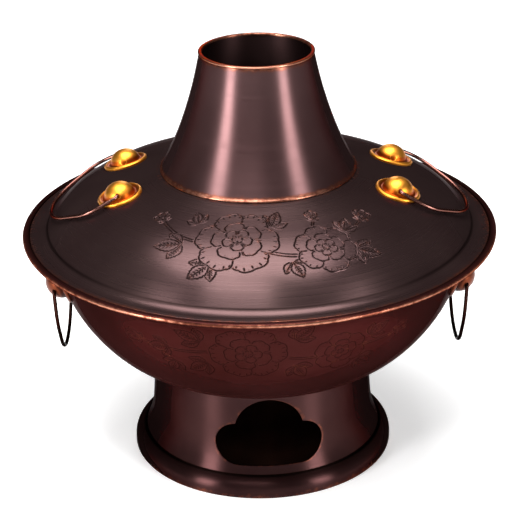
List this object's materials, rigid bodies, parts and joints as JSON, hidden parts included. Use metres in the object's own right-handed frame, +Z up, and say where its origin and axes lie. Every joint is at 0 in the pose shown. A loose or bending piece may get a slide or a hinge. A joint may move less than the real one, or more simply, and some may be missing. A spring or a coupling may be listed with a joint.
{
  "type": "chimney hot pot",
  "caption": "Charcoal hot pot: a round bowl on a hollow foot with a fire tube up its middle, a domed ring-shaped lid, a lift-off chimney and hinged wire bails.",
  "frame": {"origin": "centre of the base ring's flat underside, on the table plane", "axes": "+Z up along the pot's axis; -Y towards the draught opening; +X to the right of a viewer who faces the draught opening"},
  "size_m": [0.3399, 0.34, 0.3035],
  "materials": {
    "antique_copper": "spun copper sheet with a dark brown antique patina, satin",
    "gilt_brass": "pressed brass, polished and gilt",
    "bail_wire": "drawn copper wire with a dark antique patina",
    "fire_copper": "bare copper sheet, dull and heat-darkened",
    "grate_iron": "rough cast iron with soot",
    "fastener_brass": "plain turned brass"
  },
  "bodies": {
    "pot": {"foot_base_ring": "antique_copper", "foot_ash_plate": "fire_copper", "foot_shell": "antique_copper", "bowl": "antique_copper", "fire_tube": "fire_copper", "fire_tube_flange": "fire_copper", "tube_floor_ring": "fire_copper", "charcoal_grate": "grate_iron", "bowl_boss_left_front": "gilt_brass", "bowl_boss_left_rear": "gilt_brass", "bowl_boss_right_front": "gilt_brass", "bowl_boss_right_rear": "gilt_brass", "bowl_boss_washers": "fastener_brass", "bowl_boss_nuts": "fastener_brass"},
    "lid": {"lid": "antique_copper", "lid_collar": "fire_copper", "lid_locating_ring": "fire_copper", "lid_boss_left_front": "gilt_brass", "lid_boss_left_rear": "gilt_brass", "lid_boss_right_front": "gilt_brass", "lid_boss_right_rear": "gilt_brass", "lid_boss_washers": "fastener_brass", "lid_boss_nuts": "fastener_brass"},
    "chimney": {"chimney_cone": "antique_copper", "chimney_rim_bead": "fire_copper", "chimney_centring_ring": "fire_copper"},
    "lid_bail_left": {"lid_bail_left": "bail_wire"},
    "lid_bail_right": {"lid_bail_right": "bail_wire"},
    "bowl_bail_left": {"bowl_bail_left": "bail_wire"},
    "bowl_bail_right": {"bowl_bail_right": "bail_wire"}
  },
  "joints": [
    {"name": "lid_lift", "type": "slide", "parent": "pot", "child": "lid", "axis": [0, 0, 1], "range_m": [0, 0.15]},
    {"name": "chimney_lift", "type": "slide", "parent": "lid", "child": "chimney", "axis": [0, 0, 1], "range_m": [0, 0.1]},
    {"name": "lid_bail_left_hinge", "type": "hinge", "parent": "lid", "child": "lid_bail_left", "pos_m": [-0.09788, 0, 0.21312], "axis": [0, 1, 0], "range_deg": [0, 160]},
    {"name": "lid_bail_right_hinge", "type": "hinge", "parent": "lid", "child": "lid_bail_right", "pos_m": [0.09788, 0, 0.21312], "axis": [0, -1, 0], "range_deg": [0, 160]},
    {"name": "bowl_bail_left_hinge", "type": "hinge", "parent": "pot", "child": "bowl_bail_left", "pos_m": [-0.14372, 0, 0.1503], "axis": [0, 1, 0], "range_deg": [-25, 134]},
    {"name": "bowl_bail_right_hinge", "type": "hinge", "parent": "pot", "child": "bowl_bail_right", "pos_m": [0.14372, 0, 0.1503], "axis": [0, -1, 0], "range_deg": [-25, 134]}
  ]
}
